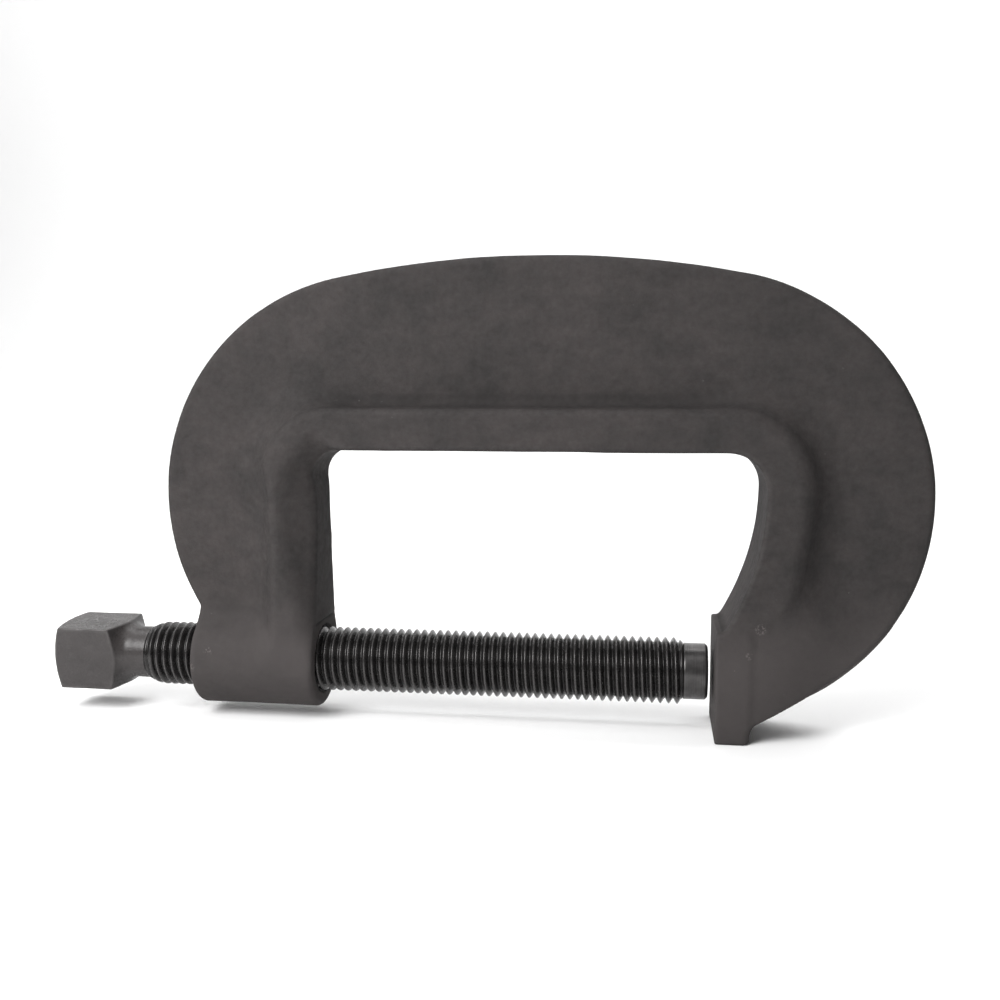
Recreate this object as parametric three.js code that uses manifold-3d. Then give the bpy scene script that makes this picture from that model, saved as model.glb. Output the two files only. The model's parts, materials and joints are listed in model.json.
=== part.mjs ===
// A heavy forged C-clamp with a screw that closes fully on its anvil.
// Millimetres, +Z up. The screw runs along X through the origin, which is the middle of the
// anvil's clamping face: the head is towards -X, and the frame lies in the X-Z plane.
import * as THREE from 'three';
import * as BufferGeometryUtils from 'three/addons/utils/BufferGeometryUtils.js';
import Module from 'manifold-3d';

const wasm = await Module();
wasm.setup();

// ---- driving dimensions ------------------------------------------------------------------
const openingWidest = 152.4; // jaw opening with the screw run right back
const gapAtRest = 2.1; // the screw stands nearly closed
const throat = 85; // screw axis to the underside of the beam
const screwDiameter = 25.4;
const threadPitch = 3.175;
const screwSquare = 25.4; // across the flats of the head
const forgingWidth = 38; // across Y, over the inner flange and the boss
const webThickness = 15;
const flangeDepth = 16.5; // how deep the thick inner band is, seen from the side
const bossLength = 50;
const anvilTop = 18.4;
const anvilBottom = -22.8;
const anvilDepth = 12.8;
const anvilCover = 1; // the web and flange stop this far inside the anvil's own faces
const meshGap = 0.3; // between solids that touch on the real clamp

// ---- sizes worked out from them ----------------------------------------------------------
const screwRadius = screwDiameter / 2;
const threadRootRadius = screwRadius - 0.62 * threadPitch;
const noseRadius = threadRootRadius;
const neckRadius = threadRootRadius - 0.3;
const threadClearance = 0.45; // radial, so the facets of the two threads never meet
const halfWidth = forgingWidth / 2;
const noseProud = 1.6; // how far the nose still stands out of the boss when run right back
const bossInner = -openingWidest - noseProud;
const bossOuter = bossInner - bossLength;
const wallLean = 1.6; // the left wall leans this much over its height
const wallTopX = bossInner - wallLean;
const leftCorner = 12; // radii of the opening's two upper corners
const rightCorner = 14;
const rightWallX = 17.2;
const rightWallRadius = 102; // the wall above the anvil sweeps in on this radius
const rightWallZ = throat - rightCorner;
const shoulderRadius = 86.5; // outer edge: a shallow crown between two big shoulders
const crownRadius = 400;
const shoulderZ = 65.8;
const shoulderReach = 60.8; // from the frame's middle to each shoulder's centre
const frameMiddleX = -69.1;
const heelRadius = 83;
const heelFillet = 5;
const filletSkirt = 4; // fills the corner between the web and the flange

const noseFace = -gapAtRest;
const noseLength = 9;
const threadEnd = noseFace - noseLength - meshGap;
const threadStart = bossOuter - 23; // bare thread showing between the boss and the neck
const leadIn = 6; // the thread runs up to its full size over this length
const neckLength = 13.4;
const headInner = threadStart - neckLength;
const headLength = 25.4;
const headCrown = 3.6; // how far the domed end falls away at its corners
const headCorner = 17.5; // the square's corners are turned off at this radius
const headSlope = 0.35; // the head's inner side leans towards the neck
const headTurn = THREE.MathUtils.degToRad(4);

const arcSteps = 10;
const roundSteps = 32;
const threadSteps = 14; // segments in one turn of the thread

// ---- solids ------------------------------------------------------------------------------
function solidOf(geometry) {
  const bare = new THREE.BufferGeometry();
  bare.setAttribute('position', geometry.getAttribute('position').clone());
  bare.setIndex(geometry.index);
  const welded = BufferGeometryUtils.mergeVertices(bare, 1e-4);
  return new wasm.Manifold(new wasm.Mesh({
    numProp: 3,
    vertProperties: new Float32Array(welded.getAttribute('position').array),
    triVerts: new Uint32Array(welded.index.array),
  }));
}

function geometryOf(solid) {
  const mesh = solid.getMesh();
  const geometry = new THREE.BufferGeometry();
  geometry.setAttribute('position', new THREE.BufferAttribute(mesh.vertProperties, 3));
  geometry.setIndex(new THREE.BufferAttribute(mesh.triVerts, 1));
  return geometry;
}

// The outline as points, without the near-doubles where one arc runs into the next.
function outlineOf(shape, steps) {
  const points = [];
  for (const point of shape.getPoints(steps)) {
    const before = points[points.length - 1];
    if (!before || before.distanceTo(point) > 0.01) points.push(point);
  }
  if (points[0].distanceTo(points[points.length - 1]) < 0.01) points.pop();
  return new THREE.Shape(points);
}

// A plate in the X-Z plane, centred on Y = 0, with its edges rounded or chamfered.
function plate(shape, thickness, edge, edgeSegments) {
  const geometry = new THREE.ExtrudeGeometry(outlineOf(shape, arcSteps), {
    depth: thickness - 2 * edge,
    bevelEnabled: true,
    bevelThickness: edge,
    bevelSize: edge,
    bevelOffset: -edge,
    bevelSegments: edgeSegments,
  });
  geometry.translate(0, 0, edge - thickness / 2);
  geometry.rotateX(Math.PI / 2);
  return solidOf(geometry);
}

// A solid of revolution about the screw axis, from [x, radius] points listed towards +X.
function turned(points) {
  const profile = points.map(([x, radius]) => new THREE.Vector2(radius, -x)).reverse();
  const geometry = new THREE.LatheGeometry(profile, roundSteps);
  geometry.rotateZ(Math.PI / 2);
  return solidOf(geometry);
}

// A rod with a right-hand V thread along X. Rows of points follow the helix: the two edges of
// the crest's narrow flat, then the root. Row i at a full turn meets row i + 3 at its start.
function threadedRod(from, to, extraRadius) {
  const profile = [
    { along: 0, radius: screwRadius + extraRadius },
    { along: 0.14, radius: screwRadius + extraRadius },
    { along: 0.57, radius: threadRootRadius + extraRadius },
  ];
  const rows = profile.length;
  const firstPitch = Math.floor(from / threadPitch) - 2;
  const turns = Math.ceil((to - from) / threadPitch) + 4;
  const last = turns * rows;
  const positions = [];
  for (let i = 0; i <= last; i += 1) {
    const { along, radius } = profile[i % rows];
    const start = (firstPitch + Math.floor(i / rows) + along) * threadPitch;
    for (let j = 0; j <= threadSteps; j += 1) {
      const turn = j / threadSteps;
      const angle = turn * 2 * Math.PI;
      const x = start + turn * threadPitch;
      positions.push(x, radius * Math.cos(angle), radius * Math.sin(angle));
    }
  }
  const at = (i, j) => i * (threadSteps + 1) + j;
  const faces = [];
  for (let i = 0; i < last; i += 1) {
    for (let j = 0; j < threadSteps; j += 1) {
      faces.push(at(i, j), at(i, j + 1), at(i + 1, j + 1));
      faces.push(at(i, j), at(i + 1, j + 1), at(i + 1, j));
    }
  }
  // Each end is a fan from the axis to the last turn and to the step where it closes.
  const startLoop = [];
  const endLoop = [];
  for (let j = 0; j < threadSteps; j += 1) {
    startLoop.push(at(0, j));
    endLoop.push(at(last, j));
  }
  endLoop.push(at(last, threadSteps));
  for (let k = 0; k < rows; k += 1) {
    startLoop.push(at(rows - k, 0));
    if (k > 0) endLoop.push(at(last - k, threadSteps));
  }
  const startCentre = positions.length / 3;
  positions.push((firstPitch - 1) * threadPitch, 0, 0);
  positions.push((firstPitch + turns + 2) * threadPitch, 0, 0);
  startLoop.forEach((here, k) => {
    faces.push(startCentre, startLoop[(k + 1) % startLoop.length], here);
  });
  endLoop.forEach((here, k) => {
    faces.push(startCentre + 1, here, endLoop[(k + 1) % endLoop.length]);
  });
  const geometry = new THREE.BufferGeometry();
  geometry.setAttribute('position', new THREE.BufferAttribute(new Float32Array(positions), 3));
  geometry.setIndex(faces);
  return solidOf(geometry);
}

// ---- frame: outlines ---------------------------------------------------------------------
const deg = THREE.MathUtils.degToRad;
const wallTurn = Math.asin((rightWallZ - anvilTop) / rightWallRadius);
const wallCentreX = rightWallX - rightWallRadius;

// The side of the opening, from the anvil up, over and down to the boss, moved outwards by grow.
function openingSide(path, grow, forwards) {
  const arcs = [
    [wallCentreX, rightWallZ, rightWallRadius, -wallTurn, 0],
    [rightWallX - rightCorner, rightWallZ, rightCorner, 0, deg(90)],
    [wallTopX + leftCorner, throat - leftCorner, leftCorner, deg(90), deg(180)],
  ];
  if (forwards) {
    arcs.forEach(([x, z, radius, a, b]) => path.absarc(x, z, radius + grow, a, b, false));
  } else {
    arcs.reverse().forEach(([x, z, radius, a, b]) => path.absarc(x, z, radius + grow, b, a, true));
  }
}

// The thin web: the clamp's whole side outline.
function webShape() {
  const shape = new THREE.Shape();
  const leftX = frameMiddleX - shoulderReach;
  const rightX = frameMiddleX + shoulderReach;
  const crownTurn = Math.asin(shoulderReach / (crownRadius - shoulderRadius));
  const crownZ = shoulderZ - (crownRadius - shoulderRadius) * Math.cos(crownTurn);
  const bossTurn = Math.acos((leftX - bossOuter) / shoulderRadius);
  const heelX = rightX + shoulderRadius - heelRadius;
  const heelEnd = deg(-62);
  shape.moveTo(bossInner, 0);
  shape.lineTo(bossOuter, 0);
  shape.absarc(leftX, shoulderZ, shoulderRadius, Math.PI + bossTurn, deg(90) + crownTurn, true);
  shape.absarc(frameMiddleX, crownZ, crownRadius, deg(90) + crownTurn, deg(90) - crownTurn, true);
  shape.absarc(rightX, shoulderZ, shoulderRadius, deg(90) - crownTurn, 0, true);
  shape.absarc(heelX, shoulderZ, heelRadius, 0, heelEnd, true);
  // A straight run down to the anvil's back, into which it is filleted.
  const filletX = anvilDepth + heelFillet;
  const touchX = filletX - heelFillet * Math.cos(heelEnd);
  const endX = heelX + heelRadius * Math.cos(heelEnd);
  const endZ = shoulderZ + heelRadius * Math.sin(heelEnd);
  const touchZ = endZ - (endX - touchX) / Math.tan(-heelEnd);
  const filletZ = touchZ + heelFillet * Math.sin(heelEnd);
  shape.absarc(filletX, filletZ, heelFillet, Math.PI + heelEnd, Math.PI, false);
  shape.lineTo(anvilCover, anvilBottom + anvilCover);
  shape.lineTo(anvilCover, anvilTop - anvilCover);
  openingSide(shape, 0, true);
  return shape;
}

// The thick band round the opening, which runs into the boss and down behind the anvil.
function flangeShape(depth) {
  const shape = new THREE.Shape();
  shape.moveTo(bossInner, 0);
  shape.lineTo(bossInner - depth, 0);
  openingSide(shape, depth, false);
  shape.lineTo(anvilDepth, anvilTop - depth);
  shape.lineTo(anvilDepth, anvilBottom + anvilCover);
  shape.lineTo(anvilCover, anvilBottom + anvilCover);
  shape.lineTo(anvilCover, anvilTop - anvilCover);
  openingSide(shape, 0, true);
  return shape;
}

// ---- frame -------------------------------------------------------------------------------
function anvilBlock() {
  const edge = 1.2;
  const shape = new THREE.Shape();
  const side = forgingWidth / 2 - 1;
  shape.moveTo(-side + edge, anvilBottom);
  shape.lineTo(side - edge, anvilBottom);
  shape.absarc(side - edge, anvilBottom + edge, edge, deg(-90), 0, false);
  shape.absarc(side - edge, anvilTop - edge, edge, 0, deg(90), false);
  shape.absarc(-side + edge, anvilTop - edge, edge, deg(90), deg(180), false);
  shape.absarc(-side + edge, anvilBottom + edge, edge, deg(180), deg(270), false);
  const geometry = new THREE.ExtrudeGeometry(outlineOf(shape, 3), {
    depth: anvilDepth - 2 * edge,
    bevelThickness: edge,
    bevelSize: edge / 2,
    bevelOffset: -edge / 2,
    bevelSegments: 1,
  });
  // The outline lies in Y-Z and the block is as deep as it runs along X.
  geometry.translate(0, 0, edge);
  geometry.rotateX(Math.PI / 2);
  geometry.rotateZ(Math.PI / 2);
  return solidOf(geometry);
}

function boss() {
  const round = 2.5;
  const corner = round * (1 - Math.SQRT1_2);
  return turned([
    [bossOuter, 0],
    [bossOuter, halfWidth - round],
    [bossOuter + corner, halfWidth - corner],
    [bossOuter + round, halfWidth],
    [bossInner - round, halfWidth],
    [bossInner - corner, halfWidth - corner],
    [bossInner, halfWidth - round],
    [bossInner, 0],
  ]);
}

// The thread through the boss, with a 45 degree countersink at each end.
function tappedHole() {
  const past = 1;
  const from = bossOuter - past;
  const to = bossInner + past;
  const mouth = screwRadius + threadClearance + 0.6;
  const bottom = threadRootRadius + threadClearance;
  const bevel = mouth - bottom;
  const reach = turned([[from, 0], [from, mouth], [to, mouth], [to, 0]]);
  const countersinks = turned([
    [from, 0],
    [from, mouth + past],
    [bossOuter + bevel, bottom],
    [bossInner - bevel, bottom],
    [to, mouth + past],
    [to, 0],
  ]);
  return threadedRod(from, to, threadClearance).intersect(reach).add(countersinks);
}

function frame() {
  const webEdge = 3;
  const flangeEdge = 4.5;
  return plate(webShape(), webThickness, webEdge, 2)
    .add(plate(flangeShape(flangeDepth), forgingWidth, flangeEdge, 2))
    .add(plate(flangeShape(flangeDepth + filletSkirt), webThickness + 2 * filletSkirt, filletSkirt, 1))
    .add(boss())
    .add(anvilBlock())
    .subtract(tappedHole());
}

// ---- screw -------------------------------------------------------------------------------
// Square head with a domed end, hollowed down to the round neck.
function head() {
  const outer = headInner - headLength;
  const hollow = 3;
  const hollowStart = headInner + (headCorner - neckRadius - hollow) * headSlope;
  const dome = [0, 0.3, 0.55, 0.8, 1].map((part) => [
    outer + headCrown * part ** 2,
    headCorner * part,
  ]);
  const hollowPoints = [0, 30, 60, 90].map((angle) => [
    hollowStart + hollow * (1 - Math.cos(deg(angle))),
    neckRadius + hollow * (1 - Math.sin(deg(angle))),
  ]);
  const round = turned([
    ...dome,
    [headInner, headCorner],
    ...hollowPoints,
    [hollowStart + hollow, 0],
  ]);
  const length = hollowStart + 2 * hollow - outer;
  const square = new THREE.BoxGeometry(length, screwSquare, screwSquare);
  square.translate(outer + length / 2, 0, 0);
  square.rotateX(headTurn);
  return solidOf(square).intersect(round);
}

function neck() {
  return turned([
    [headInner - 1, 0],
    [headInner - 1, neckRadius],
    [threadStart + 1, neckRadius],
    [threadStart + 1, 0],
  ]);
}

function screw() {
  const bevel = screwRadius - threadRootRadius;
  const past = screwRadius + 0.1;
  const blank = turned([
    [threadStart, 0],
    [threadStart, neckRadius],
    [threadStart + leadIn / 3, (neckRadius + screwRadius) / 2],
    [threadStart + leadIn, past],
    [threadEnd - bevel, past],
    [threadEnd, noseRadius],
    [threadEnd, 0],
  ]);
  return threadedRod(threadStart, threadEnd, 0).intersect(blank).add(neck()).add(head());
}

function nose() {
  const bevel = 1;
  return turned([
    [noseFace - noseLength, 0],
    [noseFace - noseLength, noseRadius],
    [noseFace - bevel, noseRadius],
    [noseFace, noseRadius - bevel],
    [noseFace, 0],
  ]);
}

// ---- the clamp ---------------------------------------------------------------------------
const forging = new THREE.MeshStandardMaterial({ color: 0x4b4848, roughness: 0.62, metalness: 0.6 });
const machined = new THREE.MeshStandardMaterial({ color: 0x2a2828, roughness: 0.3, metalness: 0.9 });

const group = new THREE.Group();
const pieces = [
  ['frame', frame(), forging],
  ['spindle', screw(), machined],
  ['spindle_nose', nose(), machined],
];
for (const [name, solid, material] of pieces) {
  const mesh = new THREE.Mesh(geometryOf(solid), material);
  mesh.name = name;
  group.add(mesh);
}

export default group;
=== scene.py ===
"""A heavy forged C-clamp: drop-forged frame, black threaded screw with a square head, plain nose.

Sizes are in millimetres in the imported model's frame, and meshes are scaled to metres as they are
made. The screw's axis is X, through the origin, which is the middle of the anvil's face. The
forging and the screw's head are worked out as distance fields, so their parts blend as a die
blends them. The thread is a helical strip of quads."""

import json
import math

import bmesh
import bpy
import numpy as np
import openvdb
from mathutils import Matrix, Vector


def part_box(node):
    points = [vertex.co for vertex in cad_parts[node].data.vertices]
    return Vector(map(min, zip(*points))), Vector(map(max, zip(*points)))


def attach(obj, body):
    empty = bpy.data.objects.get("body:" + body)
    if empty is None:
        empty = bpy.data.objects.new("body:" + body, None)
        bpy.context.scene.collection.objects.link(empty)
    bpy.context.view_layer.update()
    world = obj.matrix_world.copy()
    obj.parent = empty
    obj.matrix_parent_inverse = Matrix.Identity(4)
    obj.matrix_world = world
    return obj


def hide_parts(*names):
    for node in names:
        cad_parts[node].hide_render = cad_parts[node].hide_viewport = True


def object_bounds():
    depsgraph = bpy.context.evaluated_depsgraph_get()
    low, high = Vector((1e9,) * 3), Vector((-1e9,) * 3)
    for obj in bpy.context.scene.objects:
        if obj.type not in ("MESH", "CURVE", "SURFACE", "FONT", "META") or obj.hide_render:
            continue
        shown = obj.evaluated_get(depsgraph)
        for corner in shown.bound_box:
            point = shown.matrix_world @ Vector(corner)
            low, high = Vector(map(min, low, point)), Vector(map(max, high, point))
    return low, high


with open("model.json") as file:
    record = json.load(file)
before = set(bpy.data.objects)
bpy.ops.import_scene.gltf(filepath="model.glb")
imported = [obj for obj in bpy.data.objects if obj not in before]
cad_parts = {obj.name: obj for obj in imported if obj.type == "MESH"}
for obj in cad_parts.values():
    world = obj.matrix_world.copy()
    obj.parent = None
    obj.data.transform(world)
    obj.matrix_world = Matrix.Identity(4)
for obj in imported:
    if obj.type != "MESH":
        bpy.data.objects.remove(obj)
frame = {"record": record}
cad_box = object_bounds()

MM = 0.001

# ---- sizes -------------------------------------------------------------------------------
frame_low, frame_high = (Vector(corner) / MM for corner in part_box("frame"))
screw_low, screw_high = (Vector(corner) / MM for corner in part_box("spindle"))
nose_low, nose_high = (Vector(corner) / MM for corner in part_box("spindle_nose"))
openings = {o["name"]: o["box_m"] for o in frame["record"]["physics"]["openings"]}
pitch_per_radian = frame["record"]["behaviour"]["couplings"][0]["ratio"]

PITCH = pitch_per_radian * 2 * math.pi / MM
SCREW_RADIUS = 12.7
THREAD_DEPTH = 0.62 * PITCH
ROOT_RADIUS = SCREW_RADIUS - THREAD_DEPTH
NECK_RADIUS = ROOT_RADIUS - 0.3
NOSE_RADIUS = (nose_high.y - nose_low.y) / 2
SPIGOT_RADIUS = min(ROOT_RADIUS, NOSE_RADIUS) - 0.4  # the nose's end hidden in the thread
SPIGOT_LENGTH = 1.2
NOSE_BEVEL = 0.9
PARTING = 0.2  # how far the trimmed parting line stands out of the forged skin
HALF_WIDTH = frame_high.y
FORGED_HALF = HALF_WIDTH + PARTING
RIGHT_X = frame_high.x
ANVIL_BOTTOM = frame_low.z
ANVIL_TOP = 18.4
ANVIL_DEPTH = 12.8
PAD_INSET = 1  # the pad is this much narrower than the boss on each side
BOSS_LENGTH = 50
BOSS_OUTER = frame_low.x + 12.4  # the left shoulder bulges out this far past the boss
BOSS_INNER = BOSS_OUTER + BOSS_LENGTH
BOSS_MIDDLE = (BOSS_OUTER + BOSS_INNER) / 2
BOSS_HALF = (BOSS_INNER - BOSS_OUTER) / 2 + PARTING
THROAT = openings["jaw_opening_top"][1][2] / MM + 0.5  # the stated opening stops just short
WEB_HALF = 7.5
FLANGE_DEPTH = 16.5
WALL_LEAN = 1.6
LEFT_CORNER = 12
RIGHT_CORNER = 14
RIGHT_WALL_X = 17.2
RIGHT_WALL_RADIUS = 102
SHOULDER_RADIUS = 86.5
CROWN_RADIUS = 400
SHOULDER_REACH = 60.8
HEEL_RADIUS = 83
HEEL_TURN = math.radians(62)
HEEL_FILLET = 5
HEAD_TURN = math.radians(4)
HEAD_HALF = 12.7
HEAD_CROWN = 3.6
HEAD_CORNER = 17.5
HEAD_LENGTH = 25.4
HEAD_SLOPE = 0.35
HEAD_SKEW = 0.118  # the head's inner side is a little further along at the back
BARE_THREAD = 23  # between the boss and the neck
THREAD_START = BOSS_OUTER - BARE_THREAD
THREAD_END = screw_high.x

MIDDLE_X = RIGHT_X - SHOULDER_RADIUS - SHOULDER_REACH
CROWN_TURN = math.asin(SHOULDER_REACH / (CROWN_RADIUS - SHOULDER_RADIUS))
CROWN_Z = frame_high.z - CROWN_RADIUS
SHOULDER_Z = CROWN_Z + (CROWN_RADIUS - SHOULDER_RADIUS) * math.cos(CROWN_TURN)
RIGHT_WALL_Z = THROAT - RIGHT_CORNER
WALL_TURN = math.asin((RIGHT_WALL_Z - ANVIL_TOP) / RIGHT_WALL_RADIUS)
WALL_TOP_X = BOSS_INNER - WALL_LEAN

CREST_LOW = SCREW_RADIUS - 0.9  # the thread is polished, and painted lighter as a highlight, from this radius outwards
CREST_HIGH = SCREW_RADIUS - 0.05  # and most of all from this one

# Light scuffs on the front of the heel, the anvil and the boss: (x, z), and how far across.
SCUFFS = [((16, 21), 5), ((12, 11), 3.4), ((6.4, 5.6), 1.6), ((-196, 6), 4.5), ((-203, -1), 4)]

STEP = 0.75  # grid of the forging's field
HEAD_STEP = 0.38  # grid of the head's field
BAND = 3.0  # fields are only followed this far from their surface
EDGE_REACH = 1.6  # how far round a point store_edges looks


# ---- distance fields ---------------------------------------------------------------------
class Grid:
    """A box of evenly spaced points, with x, y and z ready to be combined."""

    def __init__(self, low, high, step):
        self.step = step
        self.low = np.array(low, float) - 3 * step
        axes = [
            self.low[k] + step * np.arange(int((high[k] + 3 * step - self.low[k]) / step) + 1)
            for k in range(3)
        ]
        self.axes = axes
        self.x = axes[0][:, None, None]
        self.y = axes[1][None, :, None]
        self.z = axes[2][None, None, :]


def smooth_min(a, b, reach):
    """The two solids together, with a fillet where they meet."""
    near = np.maximum(reach - np.abs(a - b), 0) / reach
    return np.minimum(a, b) - near * near * reach / 4


def smooth_max(a, b, reach):
    """What the two solids share, with its edges rounded."""
    return -smooth_min(-a, -b, reach)


def rounded(distances, radius):
    """The field of the space inside all the distances, with its edges rounded."""
    shifted = [d + radius for d in distances]
    outside = sum(np.maximum(d, 0) ** 2 for d in shifted)
    inside = shifted[0]
    for d in shifted[1:]:
        inside = np.maximum(inside, d)
    return np.sqrt(outside) + np.minimum(inside, 0) - radius


def arc(centre, radius, start, end, steps=24):
    """Points of an arc in the X-Z plane, with its turns counted from +X towards +Z."""
    turns = np.linspace(start, end, steps + 1)
    return [(centre[0] + radius * math.cos(t), centre[1] + radius * math.sin(t)) for t in turns]


def outline_field(outline, x, z):
    """Signed distance from a closed outline at every x by z, negative inside."""
    px, pz = x[:, None], z[None, :]
    nearest = np.full((len(x), len(z)), np.inf)
    inside = np.zeros(nearest.shape, bool)
    for (ax, az), (bx, bz) in zip(outline, outline[1:] + outline[:1]):
        ex, ez = bx - ax, bz - az
        length = ex * ex + ez * ez
        if length < 1e-9:
            continue
        along = np.clip(((px - ax) * ex + (pz - az) * ez) / length, 0, 1)
        nearest = np.minimum(nearest, (px - ax - along * ex) ** 2 + (pz - az - along * ez) ** 2)
        if abs(ez) > 1e-9:
            inside ^= ((az > pz) != (bz > pz)) & (px < ax + (pz - az) / ez * ex)
    return np.where(inside, -1, 1) * np.sqrt(nearest)


def spline_weights(points, spacing, count):
    """Cubic B-spline weights of a coarse lattice, so that noise on it comes out smooth."""
    place = (points - points[0]) / spacing + 1
    cell = np.floor(place).astype(int)
    t = place - cell
    parts = [(1 - t) ** 3, 3 * t**3 - 6 * t**2 + 4, -3 * t**3 + 3 * t**2 + 3 * t + 1, t**3]
    weights = np.zeros((len(points), count))
    for k, part in enumerate(parts):
        weights[np.arange(len(points)), np.minimum(cell - 1 + k, count - 1)] += part / 6
    return weights


def smooth_noise(grid, spacing, seed):
    """Even random waves over the grid, about spacing apart."""
    counts = [int((a[-1] - a[0]) / spacing) + 5 for a in grid.axes]
    lattice = np.random.default_rng(seed).standard_normal(counts)
    for k, (axis, count) in enumerate(zip(grid.axes, counts)):
        weights = spline_weights(axis, spacing, count)
        lattice = np.moveaxis(np.tensordot(weights, lattice, axes=(1, k)), 0, k)
    return lattice


def waviness(grid, height, spacing, seed):
    """The uneven skin that scale and a worn die leave, up to 1.5 heights in or out."""
    return height * np.clip(smooth_noise(grid, spacing, seed), -1.5, 1.5)


def box_blur(field, reach):
    for axis in range(3):
        total = np.zeros_like(field)
        for shift in range(-reach, reach + 1):
            total += np.roll(field, shift, axis)
        field = total / (2 * reach + 1)
    return field


def sample(grid, field, points):
    """The field's value at each point, straight-line between the grid's own."""
    place = np.clip((points - grid.low) / grid.step, 0, np.array(field.shape) - 1.001)
    cell = place.astype(int)
    t = place - cell
    total = np.zeros(len(points))
    for corner in range(8):
        offset = np.array([corner & 1, corner >> 1 & 1, corner >> 2])
        weight = np.prod(np.where(offset, t, 1 - t), axis=1)
        i, j, k = (cell + offset).T
        total += weight * field[i, j, k]
    return total


# ---- meshes ------------------------------------------------------------------------------
def new_piece(name, points, faces, material, body, node):
    """A smooth mesh piece from points in millimetres, which stands for a CAD node."""
    mesh = bpy.data.meshes.new(name)
    mesh.from_pydata((np.asarray(points) * MM).tolist(), [], faces)
    mesh.validate()
    mesh.shade_smooth()
    mesh.materials.append(material)
    piece = bpy.data.objects.new(name, mesh)
    bpy.context.scene.collection.objects.link(piece)
    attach(piece, body)
    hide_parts(node)
    return piece


def surface_of(grid, field):
    """Points and quads of the field's zero surface, facing out."""
    volume = openvdb.FloatGrid(background=BAND)
    volume.copyFromArray(np.clip(field, -BAND, BAND).astype(np.float32))
    points, quads = volume.convertToQuads(isovalue=0.0)
    points = points * grid.step + grid.low
    a, b, c, d = (points[quads[:, k]] for k in range(4))
    signed_volume = np.einsum("ij,ij->", np.cross(c - a, d - b), a + b + c + d)
    if signed_volume < 0:
        quads = quads[:, ::-1]
    return points, quads


def store_edges(piece, grid, field, points):
    """How sharply the surface stands out at each point: over 0 on edges, under 0 in hollows."""
    clipped = np.clip(field, -BAND, BAND)
    reach = max(2, round(EDGE_REACH / grid.step))
    out = sample(grid, box_blur(clipped, reach) - clipped, points)
    attribute = piece.data.attributes.new("edge", "FLOAT", "POINT")
    attribute.data.foreach_set("value", out.astype(np.float32))


def helix(low, high, profile, steps, bound):
    """Rows of points that follow a right-hand thread along X, cut off flat at both ends."""
    first = math.floor(low / PITCH) - 2
    turns = math.ceil((high - low) / PITCH) + 4
    along = np.array([row[0] for row in profile])
    radii = np.array([row[1] for row in profile])
    starts = ((first + np.arange(turns))[:, None] + along[None, :]).ravel() * PITCH
    radius = np.tile(radii, turns)[:, None]
    angle = np.linspace(0, 2 * math.pi, steps + 1)[None, :]
    x = np.clip(starts[:, None] + angle / (2 * math.pi) * PITCH, low, high)
    r = bound(x, np.broadcast_to(radius, x.shape))
    points = np.stack([x, r * np.cos(angle), r * np.sin(angle)], axis=-1).reshape(-1, 3)
    rows, width = x.shape
    i, j = np.meshgrid(np.arange(rows - 1), np.arange(width - 1), indexing="ij")
    a = (i * width + j).ravel()
    return points, np.stack([a, a + 1, a + width + 1, a + width], axis=1)


def turned(profile, steps=96):
    """A solid of revolution about X from (x, radius) rows that start and end on the axis."""
    angle = np.linspace(0, 2 * math.pi, steps, endpoint=False)
    points = [(x, r * math.cos(t), r * math.sin(t)) for x, r in profile for t in angle]
    faces = []
    for i in range(len(profile) - 1):
        for j in range(steps):
            k = (j + 1) % steps
            faces.append((i * steps + j, i * steps + k, (i + 1) * steps + k, (i + 1) * steps + j))
    return points, faces


def clean(piece):
    """Weld doubled points and drop faces with no area."""
    mesh = bmesh.new()
    mesh.from_mesh(piece.data)
    bmesh.ops.remove_doubles(mesh, verts=mesh.verts, dist=2e-6)
    bmesh.ops.dissolve_degenerate(mesh, edges=mesh.edges, dist=1e-6)
    mesh.to_mesh(piece.data)
    mesh.free()


# ---- the forging -------------------------------------------------------------------------
def opening_side():
    """From the anvil up the right wall, along the beam and down to the boss."""
    wall = (RIGHT_WALL_X - RIGHT_WALL_RADIUS, RIGHT_WALL_Z)
    right = (RIGHT_WALL_X - RIGHT_CORNER, RIGHT_WALL_Z)
    left = (WALL_TOP_X + LEFT_CORNER, THROAT - LEFT_CORNER)
    up = math.pi / 2
    return (
        arc(wall, RIGHT_WALL_RADIUS, -WALL_TURN, 0)
        + arc(right, RIGHT_CORNER, 0, up, 12)
        + arc(left, LEFT_CORNER, up, 2 * up, 12)
    )


def opening_outline():
    """The opening, carried on down past the boss and the anvil's face."""
    below = ANVIL_BOTTOM * 4
    return opening_side() + [(BOSS_INNER, 0), (BOSS_INNER, below), (0, below), (0, ANVIL_TOP)]


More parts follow.
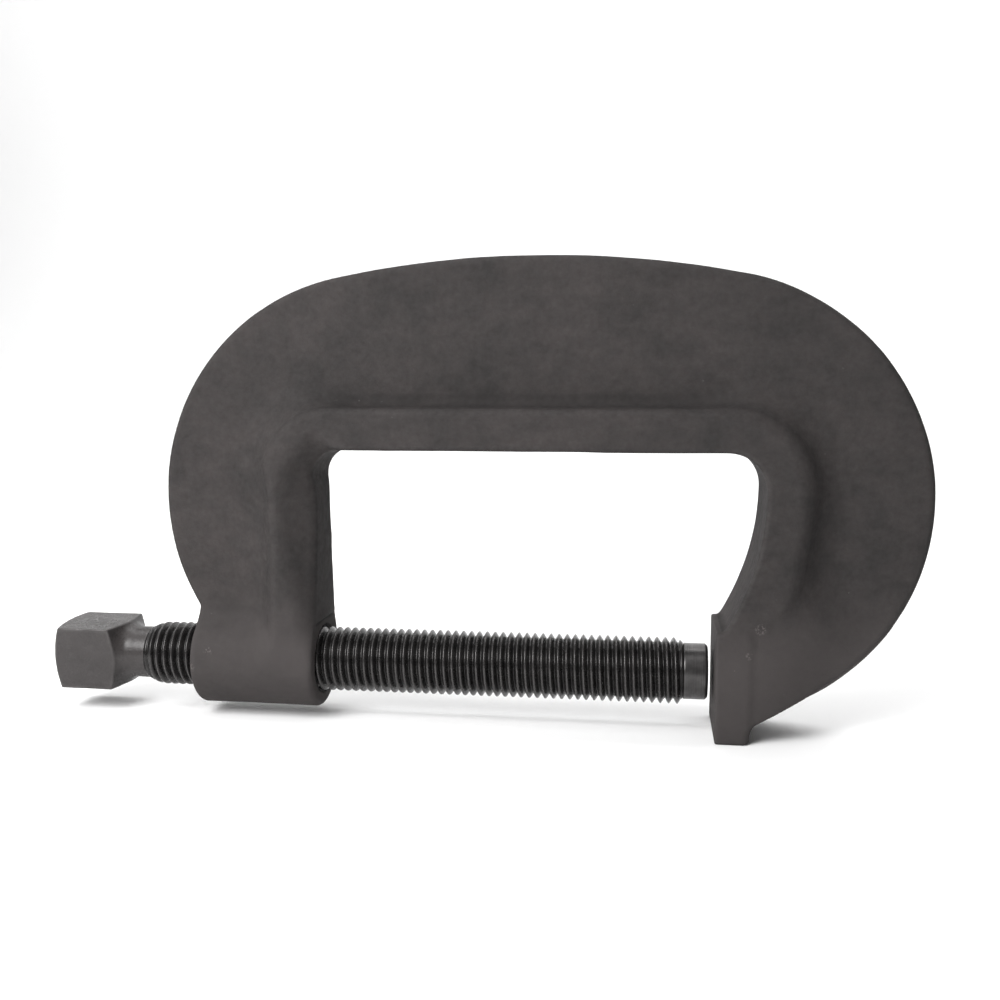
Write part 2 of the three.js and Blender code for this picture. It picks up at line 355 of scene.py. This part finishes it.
def plan_outline():
    """The forging as seen from the front, without its boss and opening."""
    left = (MIDDLE_X - SHOULDER_REACH, SHOULDER_Z)
    right = (MIDDLE_X + SHOULDER_REACH, SHOULDER_Z)
    heel = (RIGHT_X - HEEL_RADIUS, SHOULDER_Z)
    up = math.pi / 2
    boss_turn = math.pi + math.acos((left[0] - BOSS_OUTER) / SHOULDER_RADIUS)
    heel_points = arc(heel, HEEL_RADIUS, 0, -HEEL_TURN)
    # It runs on past the anvil's face and underside, which are cut off square later.
    past_face, below = -2, ANVIL_BOTTOM - 9
    end_x, end_z = heel_points[-1]
    # A straight run down to the anvil's back, into which it is filleted.
    fillet_x = ANVIL_DEPTH + HEEL_FILLET
    touch_x = fillet_x - HEEL_FILLET * math.cos(HEEL_TURN)
    touch_z = end_z - (end_x - touch_x) / math.tan(HEEL_TURN)
    fillet_z = touch_z - HEEL_FILLET * math.sin(HEEL_TURN)
    fillet = arc((fillet_x, fillet_z), HEEL_FILLET, math.pi - HEEL_TURN, math.pi, 8)
    return (
        [(BOSS_OUTER, 0)]
        + arc(left, SHOULDER_RADIUS, boss_turn, up + CROWN_TURN, 40)
        + arc((MIDDLE_X, CROWN_Z), CROWN_RADIUS, up + CROWN_TURN, up - CROWN_TURN)
        + arc(right, SHOULDER_RADIUS, up - CROWN_TURN, 0, 40)
        + heel_points
        + fillet
        + [(ANVIL_DEPTH, below), (past_face, below), (past_face, 0)]
    )


def step_up(value, low, high):
    """0 below low, 1 above high, and smooth between."""
    part = np.clip((value - low) / (high - low), 0, 1)
    return part * part * (3 - 2 * part)


def mill(field, grid, low, high):
    """Mills a flat-sided box away, given as (low x, low z) and (high x, high z)."""
    across = np.maximum(low[0] - grid.x, grid.x - high[0])
    up = np.maximum(low[1] - grid.z, grid.z - high[1])
    return np.maximum(field, -np.maximum(across, up))


def zones(x, z):
    """How far each place belongs to the left column, to the right side and to the heel."""
    inside_wall, outside_wall = 17, 8
    left_column = step_up(WALL_TOP_X - x, -inside_wall, outside_wall)
    right_start, right_full = -15, 25
    right_side = step_up(x, right_start, right_full)
    heel_top, heel_full, heel_left, heel_right = 50, 14, -60, -10
    heel = step_up(-z, -heel_top, -heel_full) * step_up(x, heel_left, heel_right)
    return left_column, right_side, heel


def column_bevel(x, z):
    """Depth of the bevel on the left column's inner edges, under 0 where there is none."""
    foot_z, deepest_z, top_z = 2, 62, 84
    at_foot, at_deepest, at_top = 4, 14, 8
    none = 6
    right_end, full_depth = -134, -154
    rise = (at_deepest - at_foot) * step_up(z, foot_z, deepest_z)
    fall = (at_deepest - at_top) * step_up(z, deepest_z, top_z)
    return (none + at_foot + rise - fall) * step_up(-x, -right_end, -full_depth) - none


def flange_field(grid, plan, behind, bevel):
    """The thick band that stands up round the opening, with the heel behind the anvil."""
    x, y, z = grid.x, np.abs(grid.y), grid.z
    left_column, right_side, heel = zones(x, z)
    # Its outer side is steep over the beam, and eases down the right wall and the left column.
    steep, column_ease, right_ease = 0.08, 0.25, 0.3
    slope = steep + column_ease * left_column + right_ease * right_side
    front_loss = 0.5  # it is this much shallower along its front edge
    outer = behind - FLANGE_DEPTH + front_loss - (FORGED_HALF - y) * slope
    outer = outer / np.sqrt(1 + slope**2)
    # The heel starts flush with the pad and falls away to the web.
    fall_start, fall_end = 2, 48  # from the pad's back
    heel_fall = step_up(behind - ANVIL_DEPTH, fall_start, fall_end)
    heel_fall = (FORGED_HALF - WEB_HALF) * heel_fall
    heel_lean = 0.95
    heel_side = (y - FORGED_HALF + PAD_INSET + heel_fall) * heel_lean
    outer = outer * (1 - heel) + heel_side * heel
    # The front face and the inner wall, with the edge between them bevelled on the left column.
    edge, sharper_right = 2.6, 1.4
    heel_clear = 3  # the heel's front is heel_side alone
    bevel_side = (y - FORGED_HALF - behind + bevel) * math.sqrt(0.5)
    sides = [-behind - PARTING, y - FORGED_HALF - heel_clear * heel, bevel_side]
    front = rounded(sides, edge - sharper_right * right_side)
    corner, rounder_right, sharper_heel = 3, 1.8, 0.75
    heel_inset = 2.2  # keeps the heel's rounded edge inside the plan
    corner = (corner + rounder_right * right_side) * (1 - sharper_heel * heel)
    flange = rounded([front, outer, plan + heel_inset * heel], corner)
    # It ends inside the boss on the left, and at the anvil's underside on the right.
    opening_middle = -60
    return np.maximum(flange, np.where(x < opening_middle, -z, ANVIL_BOTTOM - z))


def boss_field(x, from_axis):
    """A round bar along the screw's axis."""
    edge = 2.6
    return rounded([from_axis - FORGED_HALF, np.abs(x - BOSS_MIDDLE) - BOSS_HALF], edge)


def pad_field(x, y, z):
    """The anvil's pad, with 2 mm to spare on its face for milling."""
    edge = 1.6
    pad_x = np.abs(x - ANVIL_DEPTH / 2 + 1) - ANVIL_DEPTH / 2 - 1
    pad_z = np.abs(z - (ANVIL_TOP + ANVIL_BOTTOM) / 2) - (ANVIL_TOP - ANVIL_BOTTOM) / 2
    return rounded([pad_x, y - FORGED_HALF + PAD_INSET, pad_z - PARTING], edge)


def bore_field(x, from_axis):
    """The hole for the tapped sleeve, opened out at both mouths."""
    room, mouth_room, mouth_slope = 0.9, 1.2, 0.7
    from_mouth = BOSS_HALF - np.abs(x - BOSS_MIDDLE)
    mouths = (from_axis - SCREW_RADIUS - mouth_room + from_mouth) * mouth_slope
    return np.minimum(from_axis - SCREW_RADIUS - room, mouths)


def machined(body, grid, from_axis):
    """Mills the anvil's face and both faces of the boss, and bores the boss."""
    x, y, z = grid.x, np.abs(grid.y), grid.z
    cut = 60  # more than there is to take off
    # The first cut is the anvil's face, and the others are the boss's ends. The inner one stops
    # just short of the boss's top, where the column begins.
    body = mill(body, grid, (-40, -cut), (0, ANVIL_TOP + 4))
    body = mill(body, grid, (BOSS_OUTER - cut, -cut), (BOSS_OUTER, HALF_WIDTH + 2))
    body = mill(body, grid, (BOSS_INNER, -cut), (BOSS_INNER + cut, HALF_WIDTH - 2))
    bore = np.maximum(bore_field(x, from_axis), x - BOSS_INNER - 3)
    body = np.maximum(body, -bore)
    # Nothing reaches past the CAD's box.
    inside_box = np.maximum(y - HALF_WIDTH, x - RIGHT_X)
    inside_box = np.maximum(inside_box, np.maximum(z - frame_high.z, ANVIL_BOTTOM - z))
    return smooth_max(body, inside_box, 0.3)


def forging_field(grid):
    """Web, flange, boss and pad, with their skin and machined faces."""
    x, y, z = grid.x, np.abs(grid.y), grid.z
    from_axis = np.sqrt(y**2 + z**2)
    plan = outline_field(plan_outline(), grid.axes[0], grid.axes[2])[:, None, :] - PARTING
    behind = outline_field(opening_outline(), grid.axes[0], grid.axes[2])[:, None, :]
    # The left column's inner wall swells into the opening where its bevel is deep.
    bevel = column_bevel(x, z)
    swell, swell_top, swell_fade = 0.13, THROAT - 2, 14
    behind = behind + swell * np.maximum(bevel, 0) * step_up(swell_top - z, 0, swell_fade)

    # The web is a plate over the whole plan, filleted to the flange.
    web_edge = 3.2
    web = rounded([plan, -behind - PARTING, y - WEB_HALF], web_edge)
    flange = flange_field(grid, plan, behind, bevel)
    left_column, right_side, heel = zones(x, z)
    fillet, wider_right, wider_left, narrower_heel = 5, 5, 11, 0.6
    fillet = fillet + wider_right * right_side + wider_left * left_column
    body = smooth_min(web, flange, fillet * (1 - narrower_heel * heel))
    body = np.maximum(body, np.maximum(plan, -behind - PARTING))
    boss_fillet, pad_fillet = 5, 3
    body = smooth_min(body, boss_field(x, from_axis), boss_fillet)
    body = smooth_min(body, pad_field(x, y, z), pad_fillet)

    # The trimmed parting line round the outside, and the forged skin's waviness.
    parting_width, parting_start, parting_full = 1.2, 14, 22
    parting = np.exp(-((y / parting_width) ** 2))
    parting = parting * step_up(behind, parting_start, parting_full)
    body = body + PARTING * (1 - parting)
    body = body + waviness(grid, height=0.16, spacing=16, seed=1)
    body = body + waviness(grid, height=0.07, spacing=5, seed=2)
    return machined(body, grid, from_axis)


def make_forging(material):
    grid = Grid(frame_low, frame_high, STEP)
    field = forging_field(grid)
    points, quads = surface_of(grid, field)
    piece = new_piece("forged_frame", points, quads.tolist(), material, "frame", "frame")
    store_edges(piece, grid, field, points)
    return piece


def make_tapped_hole(material):
    """The thread cut in the boss: a sleeve let into the forging's bore."""
    clearance = 0.3
    profile = [(x, r + clearance) for x, r in thread_profile()]
    outer = SCREW_RADIUS + 1.0
    rim = outer - 0.1
    mouth_slope = 1.6
    low, high = BOSS_OUTER + 0.15, BOSS_INNER - 0.15
    steps = 72

    def flared(x, radius):
        depth = np.minimum(x - BOSS_OUTER, BOSS_INNER - x)
        return np.clip(np.maximum(radius, rim - depth * mouth_slope), 0, outer)

    points, quads = helix(low, high, profile, steps, flared)
    back, back_faces = turned([(low, outer), (high, outer)], steps)
    faces = quads[:, ::-1].tolist()
    faces += [tuple(k + len(points) for k in face) for face in back_faces]
    points = np.concatenate([points, back])
    piece = new_piece("boss_thread", points, faces, material, "frame", "frame")
    clean(piece)
    return piece


# ---- the screw ---------------------------------------------------------------------------
def thread_profile():
    """One pitch of the thread: (share of the pitch, radius)."""
    crest, root = SCREW_RADIUS, ROOT_RADIUS
    middle = (crest + root) / 2
    return [
        (0.0, crest - 0.10),
        (0.05, crest - 0.02),
        (0.08, crest),
        (0.11, crest - 0.02),
        (0.16, crest - 0.10),
        (0.21, crest - 0.32),
        (0.35, middle),
        (0.51, root + 0.18),
        (0.55, root + 0.03),
        (0.60, root),
        (0.65, root + 0.03),
        (0.69, root + 0.18),
        (0.81, middle),
        (0.95, crest - 0.32),
    ]


def make_thread(material):
    """It runs up out of the neck, and is bevelled down to the nose at its far end."""
    low, high = THREAD_START, THREAD_END
    rise = SCREW_RADIUS - NECK_RADIUS
    lead_in, end_slope = 7.5, 1.1

    def blank(x, radius):
        share = np.clip((x - low) / lead_in, 0, 1)
        left = NECK_RADIUS + rise * (1 - (1 - share) ** 2) + 0.02
        right = np.where(x < high, NOSE_RADIUS + (high - x) * end_slope, SPIGOT_RADIUS + 0.05)
        return np.minimum(radius, np.minimum(left, right))

    points, quads = helix(low, high, thread_profile(), 96, blank)
    piece = new_piece("screw_thread", points, quads.tolist(), material, "spindle", "spindle")
    clean(piece)
    return piece


def make_head(material):
    """Square head with a domed end, hollowed down to the round neck."""
    outer = screw_low.x
    reach = HEAD_CORNER + 0.5
    grid = Grid((outer, -reach, -reach), (THREAD_START + 2, reach, reach), HEAD_STEP)
    across = grid.y * math.cos(HEAD_TURN) + grid.z * math.sin(HEAD_TURN)
    up = grid.z * math.cos(HEAD_TURN) - grid.y * math.sin(HEAD_TURN)
    from_axis = np.sqrt(grid.y**2 + grid.z**2)
    sharp = 0.4
    flats = rounded([np.abs(across) - HEAD_HALF, np.abs(up) - HEAD_HALF], sharp)
    dome_radius = HEAD_CORNER**2 / (2 * HEAD_CROWN)
    dome = np.sqrt((grid.x - outer - dome_radius) ** 2 + from_axis**2) - dome_radius
    dome = np.where(grid.x < outer + dome_radius, dome, -BAND)
    # The inner side leans towards the neck.
    inner = outer + HEAD_LENGTH + (HEAD_CORNER - from_axis) * HEAD_SLOPE
    inner = inner + (grid.y + HEAD_HALF) * HEAD_SKEW
    lean = 0.87  # a leaning side's field rises faster than distance, so it is scaled down
    edge = 0.5
    block = smooth_max(flats, dome, edge)
    block = smooth_max(block, (grid.x - inner) * lean, edge)
    # The neck starts well inside the head and stops just inside the thread.
    neck_start, neck_end = outer + 12, THREAD_START + 1
    neck = np.maximum(from_axis - NECK_RADIUS, grid.x - neck_end)
    neck = np.maximum(neck, neck_start - grid.x)
    hollow = 4  # the fillet between the neck and the head
    whole = smooth_max(smooth_min(block, neck, hollow), flats, sharp)
    whole = whole + waviness(grid, height=0.05, spacing=5, seed=3)
    whole = np.maximum(whole, np.maximum(flats, outer - grid.x))
    points, quads = surface_of(grid, whole)
    piece = new_piece("screw_head", points, quads.tolist(), material, "spindle", "spindle")
    store_edges(piece, grid, whole, points)
    return piece


def make_nose(material):
    """The plain end, turned down to the thread's root, with a bevelled rim."""
    start, end = nose_low.x, nose_high.x
    side_end = end - NOSE_BEVEL
    face_radius = NOSE_RADIUS - NOSE_BEVEL
    profile = [(start - SPIGOT_LENGTH, 0), (start - SPIGOT_LENGTH, SPIGOT_RADIUS)]
    profile += [(start, SPIGOT_RADIUS), (start, NOSE_RADIUS - 0.05)]
    profile += [(x, NOSE_RADIUS) for x in np.linspace(start + 0.1, side_end - 0.1, 12)]
    profile += [(side_end, NOSE_RADIUS - 0.03), (end - 0.06, face_radius + 0.03)]
    profile += [(end, face_radius - 0.05)]
    profile += [(end, r) for r in np.linspace(face_radius - 0.6, 0, 6)]
    points, faces = turned(profile)
    piece = new_piece("screw_nose", points, faces, material, "spindle_nose", "spindle_nose")
    clean(piece)
    return piece


# ---- materials ---------------------------------------------------------------------------
class Nodes:
    """A material's node tree, with short calls for the nodes used here."""

    def __init__(self, name, metallic):
        self.material = bpy.data.materials.new(name)
        self.material.use_nodes = True
        self.tree = self.material.node_tree
        self.shader = self.tree.nodes["Principled BSDF"]
        self.shader.inputs["Metallic"].default_value = metallic
        self.place = self.tree.nodes.new("ShaderNodeTexCoord").outputs["Object"]

    def link(self, output, node, socket):
        self.tree.links.new(output, node.inputs[socket])

    def noise(self, across, along=None, detail=3.0, roughness=0.5):
        """Noise with so many features to a metre, or another number of them along X."""
        mapping = self.tree.nodes.new("ShaderNodeMapping")
        mapping.inputs["Scale"].default_value = (along or across, across, across)
        self.link(self.place, mapping, "Vector")
        noise = self.tree.nodes.new("ShaderNodeTexNoise")
        noise.inputs["Scale"].default_value = 1.0
        noise.inputs["Detail"].default_value = detail
        noise.inputs["Roughness"].default_value = roughness
        self.link(mapping.outputs["Vector"], noise, "Vector")
        return noise.outputs["Fac"]

    def attribute(self, name):
        node = self.tree.nodes.new("ShaderNodeAttribute")
        node.attribute_name = name
        return node.outputs["Fac"]

    def ramp(self, value, stops):
        """Colours for a value, from (value, colour) stops."""
        node = self.tree.nodes.new("ShaderNodeValToRGB")
        elements = node.color_ramp.elements
        while len(elements) < len(stops):
            elements.new(0.5)
        for element, (position, colour) in zip(elements, stops):
            element.position = position
            element.color = (*colour, 1)
        self.link(value, node, "Fac")
        return node.outputs["Color"]

    def spread(self, value, low, high, to_low, to_high):
        """The value, with low to high spread over to_low to to_high and cut off there."""
        node = self.tree.nodes.new("ShaderNodeMapRange")
        ends = {"From Min": low, "From Max": high, "To Min": to_low, "To Max": to_high}
        for name, number in ends.items():
            node.inputs[name].default_value = number
        self.link(value, node, "Value")
        return node.outputs["Result"]

    def mix(self, share, a, b, blend="MIX"):
        node = self.tree.nodes.new("ShaderNodeMix")
        node.data_type = "RGBA"
        node.blend_type = blend
        for socket, value in (("Factor", share), ("A", a), ("B", b)):
            found = [i for i in node.inputs if i.name == socket and i.enabled][0]
            if isinstance(value, bpy.types.NodeSocket):
                self.tree.links.new(value, found)
            elif socket == "Factor":
                found.default_value = value
            else:
                found.default_value = (*value, 1)
        return [o for o in node.outputs if o.enabled][0]

    def times(self, a, b):
        node = self.tree.nodes.new("ShaderNodeMath")
        node.operation = "MULTIPLY"
        self.link(a, node, 0)
        self.link(b, node, 1)
        return node.outputs["Value"]

    def near(self, point, reach):
        """1 close to the point and 0 beyond reach, both in metres."""
        node = self.tree.nodes.new("ShaderNodeVectorMath")
        node.operation = "DISTANCE"
        node.inputs[1].default_value = point
        self.link(self.place, node, 0)
        return self.spread(node.outputs["Value"], reach, reach * 0.3, 0, 1)

    def from_screw_axis(self):
        """How far each place is from the X axis, in metres."""
        flat = self.tree.nodes.new("ShaderNodeVectorMath")
        flat.operation = "MULTIPLY"
        flat.inputs[1].default_value = (0, 1, 1)
        self.link(self.place, flat, 0)
        length = self.tree.nodes.new("ShaderNodeVectorMath")
        length.operation = "LENGTH"
        self.link(flat.outputs["Vector"], length, 0)
        return length.outputs["Value"]

    def bump(self, height, distance, strength, before=None):
        node = self.tree.nodes.new("ShaderNodeBump")
        node.inputs["Distance"].default_value = distance
        node.inputs["Strength"].default_value = strength
        self.link(height, node, "Height")
        if before is not None:
            self.link(before, node, "Normal")
        return node.outputs["Normal"]

    def finish(self, colour, roughness, normal):
        self.link(colour, self.shader, "Base Color")
        self.link(roughness, self.shader, "Roughness")
        self.link(normal, self.shader, "Normal")
        return self.material


def grey(value, warmth=0.04):
    """A grey of that brightness, a little towards red."""
    return (value * (1 + warmth), value * (1 - warmth / 3), value * (1 - warmth / 2))


def forged_skin(name, base, sheen, gloss, worn, blotch, scuffs):
    """Dark scale of a drop forging: cloudy, finely pitted, a little lighter where it is handled."""
    nodes = Nodes(name, 0)
    nodes.shader.inputs["Specular IOR Level"].default_value = gloss
    clouds = nodes.noise(28, detail=4, roughness=0.6)
    patches = nodes.noise(150, along=110, roughness=0.6)
    mottle = nodes.noise(420, detail=4, roughness=0.65)
    grain = nodes.noise(1500, detail=2, roughness=0.6)
    specks = nodes.noise(400, detail=2)

    # Clouds of scale, with blotches and a fine mottle over them.
    dull, bright = 0.5 - blotch, 0.5 + blotch
    colour = nodes.ramp(clouds, [(0.35, grey(base * 0.88)), (0.65, grey(base * 1.1, 0.06))])
    patch_colour = nodes.ramp(patches, [(0.35, grey(dull, 0.0)), (0.65, grey(bright, 0.02))])
    mottle_colour = nodes.ramp(mottle, [(0.3, grey(dull, 0.02)), (0.7, grey(bright, 0.0))])
    colour = nodes.mix(0.8, colour, patch_colour, "OVERLAY")
    colour = nodes.mix(1.0, colour, mottle_colour, "OVERLAY")

    # It is handled most low down, round the screw.
    handled_top, handled_full = 34 * MM, 8 * MM
    split = nodes.tree.nodes.new("ShaderNodeSeparateXYZ")
    nodes.link(nodes.place, split, "Vector")
    handled = nodes.spread(split.outputs["Z"], handled_top, handled_full, 0, 1)
    handled = nodes.times(handled, nodes.spread(clouds, 0.3, 0.7, 0.5, 1))
    colour = nodes.mix(handled, colour, grey(base * 1.5, 0.08))

    # Edges are worn in places, and hollows and creases are darkened as painted shade.
    edge = nodes.attribute("edge")
    wear = nodes.spread(edge, 0.1, 0.4, 0, 0.35)
    wear = nodes.times(wear, nodes.spread(mottle, 0.35, 0.6, 0.2, 1))
    colour = nodes.mix(wear, colour, grey(worn))
    # Painted shade: the deeper the hollow, the darker its colour.
    hollow = nodes.spread(edge, -0.05, -0.22, 0, 0.85)
    colour = nodes.mix(hollow, colour, grey(base * 0.35))

    # Bright nicks all over, and flecks in each scuff.
    nicks = nodes.ramp(specks, [(0.76, (0, 0, 0)), (0.86, (1, 1, 1))])
    colour = nodes.mix(nicks, colour, grey(worn * 1.2))
    flecks = nodes.spread(nodes.noise(900, roughness=0.7), 0.5, 0.62, 0, 0.7)
    for (x, z), across in scuffs:
        scuff = nodes.near((x * MM, -HALF_WIDTH * MM, z * MM), across / 2 * MM)
        colour = nodes.mix(nodes.times(scuff, flecks), colour, grey(0.16, 0.1))

    roughness = nodes.spread(mottle, 0.3, 0.7, sheen + 0.08, sheen - 0.06)
    normal = nodes.bump(mottle, 0.22 * MM, 0.45)
    normal = nodes.bump(grain, 0.08 * MM, 0.5, normal)
    return nodes.finish(colour, roughness, normal)


def black_thread(name, polish_and_highlight, sheen):
    """Blackened steel, polished a little along the crests where the boss rubs it, and painted
    lighter there as a highlight.
    """
    nodes = Nodes(name, 0.7)
    grain = nodes.noise(700, roughness=0.6)
    dirt = nodes.noise(140, roughness=0.6)
    # Lighter towards the crests: real polish, with a painted highlight over it.
    crest = nodes.spread(nodes.from_screw_axis(), CREST_LOW * MM, CREST_HIGH * MM, 0, polish_and_highlight)
    dark = nodes.ramp(dirt, [(0.3, grey(0.02)), (0.7, grey(0.04))])
    colour = nodes.mix(crest, dark, grey(0.07))
    roughness = nodes.spread(grain, 0.3, 0.7, sheen, sheen + 0.1)
    return nodes.finish(colour, roughness, nodes.bump(grain, 0.03 * MM, 0.5))


def turned_steel():
    """The nose: dark steel with fine turning lines round it."""
    nodes = Nodes("turned_nose", 0.6)
    lines = nodes.noise(40, along=9000, detail=2)
    dirt = nodes.noise(260, roughness=0.6)
    colour = nodes.ramp(dirt, [(0.3, grey(0.04)), (0.7, grey(0.07))])
    roughness = nodes.spread(lines, 0.3, 0.7, 0.26, 0.34)
    return nodes.finish(colour, roughness, nodes.bump(lines, 0.01 * MM, 0.3))


forged_scale = forged_skin(
    "forged_scale", base=0.037, sheen=0.75, gloss=0.05, worn=0.06, blotch=0.05, scuffs=SCUFFS
)
head_scale = forged_skin(
    "head_scale", base=0.026, sheen=0.28, gloss=0.25, worn=0.12, blotch=0.3, scuffs=[]
)

make_forging(forged_scale)
make_tapped_hole(black_thread("tapped_hole", polish_and_highlight=0, sheen=0.6))
make_thread(black_thread("blackened_thread", polish_and_highlight=0.9, sheen=0.24))
make_head(head_scale)
make_nose(turned_steel())


# ---- stage, light and camera -------------------------------------------------------------
def make_stage():
    """A plain pale floor that curves up into a backdrop far behind."""
    material = bpy.data.materials.new("pale_floor")
    material.use_nodes = True
    shader = material.node_tree.nodes["Principled BSDF"]
    shader.inputs["Base Color"].default_value = (0.97, 0.97, 0.97, 1)
    shader.inputs["Roughness"].default_value = 0.9
    floor_z = cad_box[0][2]
    reach, back, bend, bend_steps = 3.0, 1.6, 0.6, 12
    flat_end = back - bend
    section = [(-reach, floor_z), (flat_end, floor_z)]
    for k in range(1, bend_steps + 1):
        turn = k / bend_steps * math.pi / 2
        along, up = bend * math.sin(turn), bend * (1 - math.cos(turn))
        section.append((flat_end + along, floor_z + up))
    section.append((back, floor_z + reach))
    points = [(x, y, z) for y, z in section for x in (-reach, reach)]
    faces = [(2 * k, 2 * k + 1, 2 * k + 3, 2 * k + 2) for k in range(len(section) - 1)]
    mesh = bpy.data.meshes.new("pale_floor")
    mesh.from_pydata(points, [], faces)
    mesh.shade_smooth()
    mesh.materials.append(material)
    floor = bpy.data.objects.new("pale_floor", mesh)
    bpy.context.scene.collection.objects.link(floor)


def area_light(name, place, aim, size, power):
    """A rectangle of light at a place, facing another."""
    light = bpy.data.lights.new(name, "AREA")
    light.shape = "RECTANGLE"
    light.size, light.size_y = size
    light.energy = power
    lamp = bpy.data.objects.new(name, light)
    lamp.location = place
    lamp.rotation_euler = (Vector(aim) - Vector(place)).to_track_quat("-Z", "Y").to_euler()
    bpy.context.scene.collection.objects.link(lamp)


def make_lights(middle):
    """A key light high on the left, a wide soft one above, and one that whitens the backdrop."""
    key = middle + Vector((-0.32, -0.5, 0.4))
    above = middle + Vector((-0.1, 0.1, 1.5))
    over_floor = middle + Vector((0, 0.6, 1.6))
    backdrop = middle + Vector((0, 1.6, 0.1))
    area_light("key", key, middle, size=(0.4, 0.4), power=7.2)
    area_light("top", above, middle, size=(2.4, 2.0), power=20)
    area_light("backdrop", over_floor, backdrop, size=(3.4, 0.6), power=26)
    world = bpy.data.worlds.new("soft_world")
    world.use_nodes = True
    background = world.node_tree.nodes["Background"]
    background.inputs["Color"].default_value = (1, 1, 1, 1)
    background.inputs["Strength"].default_value = 0.1
    bpy.context.scene.world = world


def make_camera(middle):
    """Close, from a little to the right and a little above, as a hand-held phone sees it."""
    turn, rise = math.radians(8), math.radians(6)
    distance = 0.4205
    sensor, lens = 36, 38.9
    level = math.cos(rise)
    look = Vector((-math.sin(turn) * level, math.cos(turn) * level, -math.sin(rise)))
    aim = middle + Vector((0.0112, 0, -0.0025))
    camera = bpy.data.objects.new("camera", bpy.data.cameras.new("camera"))
    camera.data.sensor_width = sensor
    camera.data.lens = lens
    camera.data.clip_start = 0.01
    camera.location = aim - look * distance
    camera.rotation_euler = look.to_track_quat("-Z", "Y").to_euler()
    bpy.context.scene.collection.objects.link(camera)
    bpy.context.scene.camera = camera


middle = (Vector(cad_box[0]) + Vector(cad_box[1])) / 2
make_stage()
make_lights(middle)
make_camera(middle)
bpy.context.scene.view_settings.view_transform = "Standard"
